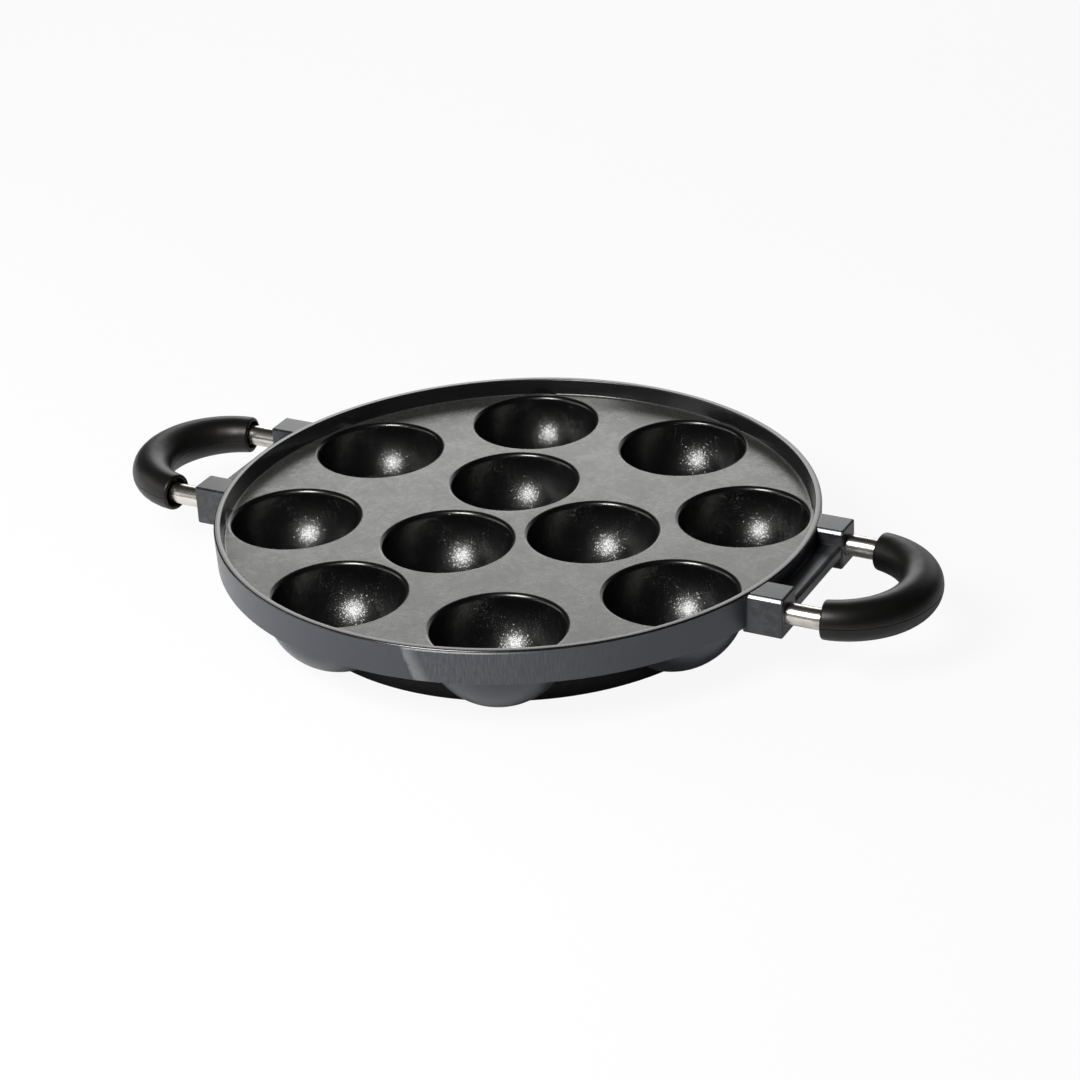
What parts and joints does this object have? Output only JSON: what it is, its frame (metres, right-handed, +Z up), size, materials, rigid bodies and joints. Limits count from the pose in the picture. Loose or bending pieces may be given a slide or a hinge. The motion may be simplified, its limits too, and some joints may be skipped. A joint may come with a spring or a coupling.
{
  "type": "paniyaram pan",
  "caption": "Round coated pan with hemispherical cups sunk in a shallow rimmed plate, standing on a base ring, with a U-shaped rod handle and moulded grip at each side.",
  "frame": {"origin": "centre of the flat foot of the base ring, at the bottom of the pan", "axes": "+X through the two handles towards the right one, +Z up out of the cups, +Y across, so that one of the middle cups lies on +X"},
  "size_m": [0.3372, 0.23, 0.0364],
  "materials": {
    "coated_casting": "dark satin non-stick coating on die-cast aluminium",
    "bright_rod": "bright polished steel rod",
    "grip_plastic": "black satin moulding",
    "pin_steel": "plain steel"
  },
  "bodies": {
    "root": {"pan_casting": "coated_casting", "right_handle_rod": "bright_rod", "left_handle_rod": "bright_rod", "right_grip_upper_half": "grip_plastic", "right_grip_lower_half": "grip_plastic", "left_grip_upper_half": "grip_plastic", "left_grip_lower_half": "grip_plastic", "right_lock_pin_a": "pin_steel", "right_lock_pin_b": "pin_steel", "left_lock_pin_a": "pin_steel", "left_lock_pin_b": "pin_steel"}
  },
  "joints": []
}
